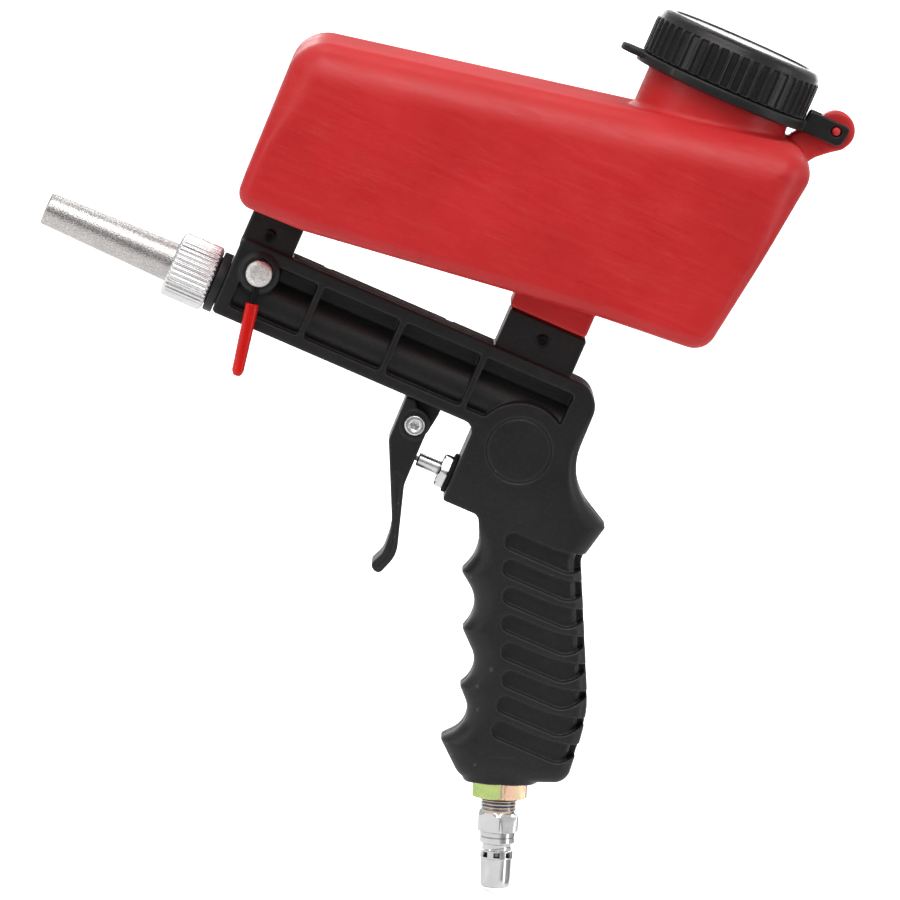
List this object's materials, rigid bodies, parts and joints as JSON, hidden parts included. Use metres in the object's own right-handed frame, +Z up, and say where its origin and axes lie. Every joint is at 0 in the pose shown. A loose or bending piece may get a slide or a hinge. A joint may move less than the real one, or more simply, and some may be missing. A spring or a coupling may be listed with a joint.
{
  "type": "handheld sandblasting gun",
  "caption": "Pistol-grip gravity-feed sandblasting gun with a lidded red hopper, steel nozzle, feed-valve lever, air trigger and quick-connect air plug.",
  "frame": {"origin": "under the middle of the gun: centred on its overall length and width, at the height of the air plug's lowest point", "axes": "+X from the nozzle back along the barrel, +Y across to the gun's right side, +Z up from the grip to the lid"},
  "size_m": [0.248, 0.088, 0.3095],
  "materials": {
    "black_plastic": "moulded glass-filled nylon, fine satin grain",
    "red_plastic": "blow-moulded polyethylene, soft satin with fine scuffs",
    "red_vinyl": "dipped vinyl, glossy",
    "rubber": "nitrile rubber, matt",
    "nozzle_steel": "drawn steel, satin",
    "aluminium": "bright turned and knurled aluminium",
    "zinc_steel": "zinc plated",
    "black_steel": "black oxide, oiled",
    "brass": "machined brass",
    "yellow_chromate": "zinc with yellow iridescent chromate",
    "chrome": "bright chrome plate"
  },
  "bodies": {
    "gun": {"body_left": "black_plastic", "body_right": "black_plastic", "body_screw_1": "zinc_steel", "body_screw_2": "zinc_steel", "body_screw_3": "zinc_steel", "body_screw_4": "zinc_steel", "body_screw_5": "zinc_steel", "body_screw_6": "zinc_steel", "body_screw_7": "zinc_steel", "mixing_block": "black_plastic", "nozzle": "nozzle_steel", "nozzle_gasket": "rubber", "air_jet": "aluminium", "air_tube": "aluminium", "hopper": "red_plastic", "hopper_outlet_seal": "rubber", "hopper_screw_front": "black_steel", "hopper_screw_rear": "black_steel", "valve_body": "brass", "gland_nut": "zinc_steel", "gland_washer": "rubber", "stem_seal": "rubber", "valve_rear_plug": "brass", "valve_spring": "zinc_steel", "inlet_tube": "aluminium", "inlet_adapter": "yellow_chromate", "inlet_seal": "rubber", "air_plug": "chrome"},
    "nut": {"nozzle_nut": "aluminium"},
    "feed_valve": {"feed_valve_plug": "zinc_steel", "feed_valve_lever": "black_steel", "lever_sleeve": "red_vinyl", "feed_valve_o_ring_left": "rubber", "feed_valve_o_ring_right": "rubber", "feed_valve_washer": "zinc_steel", "feed_valve_clip": "black_steel"},
    "trigger": {"trigger": "black_plastic", "trigger_pivot_bolt": "zinc_steel", "trigger_pivot_nut": "zinc_steel"},
    "stem": {"valve_stem": "zinc_steel", "poppet_seal": "rubber"},
    "lid": {"lid_ring": "black_plastic"},
    "cap": {"screw_cap": "black_plastic", "cap_gasket": "rubber"}
  },
  "joints": [
    {"name": "trigger_pull", "type": "hinge", "parent": "gun", "child": "trigger", "pos_m": [0.0238, 0, 0.14151], "axis": [0, -1, 0], "range_deg": [0, 18]},
    {"name": "valve_stem_slide", "type": "slide", "parent": "gun", "child": "stem", "axis": [1, 0, 0], "range_m": [0, 0.0042], "deforming": ["valve_spring"]},
    {"name": "feed_valve_turn", "type": "hinge", "parent": "gun", "child": "feed_valve", "pos_m": [-0.047, 0, 0.16901], "axis": [0, -1, 0], "range_deg": [-11, 79]},
    {"name": "nozzle_nut_turn", "type": "hinge", "parent": "gun", "child": "nut", "pos_m": [-0.0685, 0, 0.15921], "axis": [1, 0, 0], "continuous": true},
    {"name": "lid_hinge", "type": "hinge", "parent": "gun", "child": "lid", "pos_m": [0.1172, 0, 0.29361], "axis": [0, 1, 0], "range_deg": [0, 120]},
    {"name": "cap_turn", "type": "hinge", "parent": "lid", "child": "cap", "pos_m": [0.0752, 0, 0.30121], "axis": [0, 0, 1], "continuous": true}
  ],
  "couplings": [
    {"joint": "valve_stem_slide", "follows": "trigger_pull", "m_per_rad": 0.0129}
  ]
}
